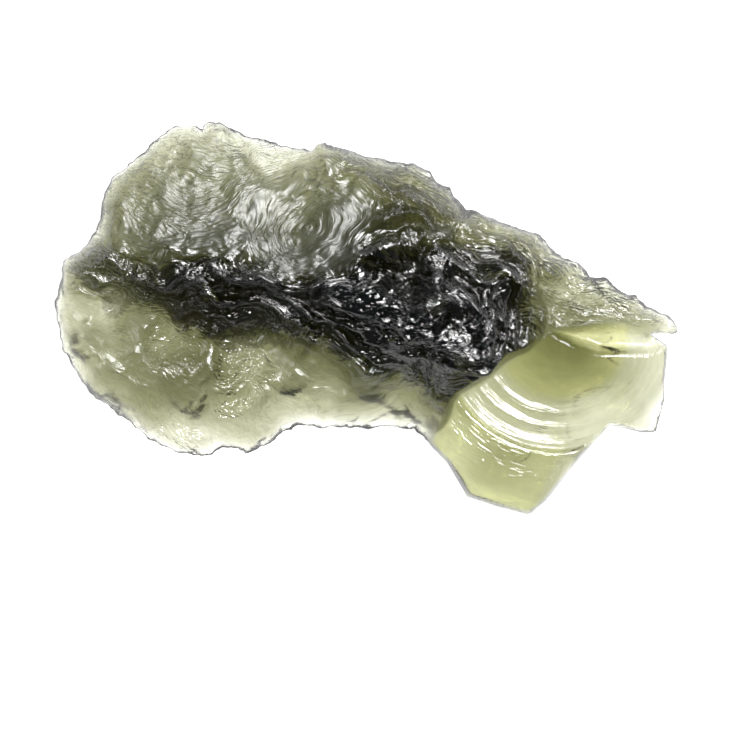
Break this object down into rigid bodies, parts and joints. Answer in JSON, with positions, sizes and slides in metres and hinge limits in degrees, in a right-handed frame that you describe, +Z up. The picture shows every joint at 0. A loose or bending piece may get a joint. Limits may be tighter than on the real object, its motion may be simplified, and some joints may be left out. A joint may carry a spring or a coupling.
{
  "type": "moldavite",
  "caption": "Raw piece of natural green glass, flat and ragged, with an etched upper face, a rugged back, a thin lobe and a fresh ribbed chip; lies loose as a specimen.",
  "frame": {"origin": "middle of the box in X and Y, on the surface that the stone lies on", "axes": "+X along the stone's length towards its spike, +Y across it towards the rugged back, +Z up through its thickness"},
  "size_m": [0.036, 0.0226, 0.0082],
  "materials": {
    "glass": "etched, part frosted, part glossy"
  },
  "bodies": {
    "root": {"moldavite": "glass"}
  },
  "joints": []
}
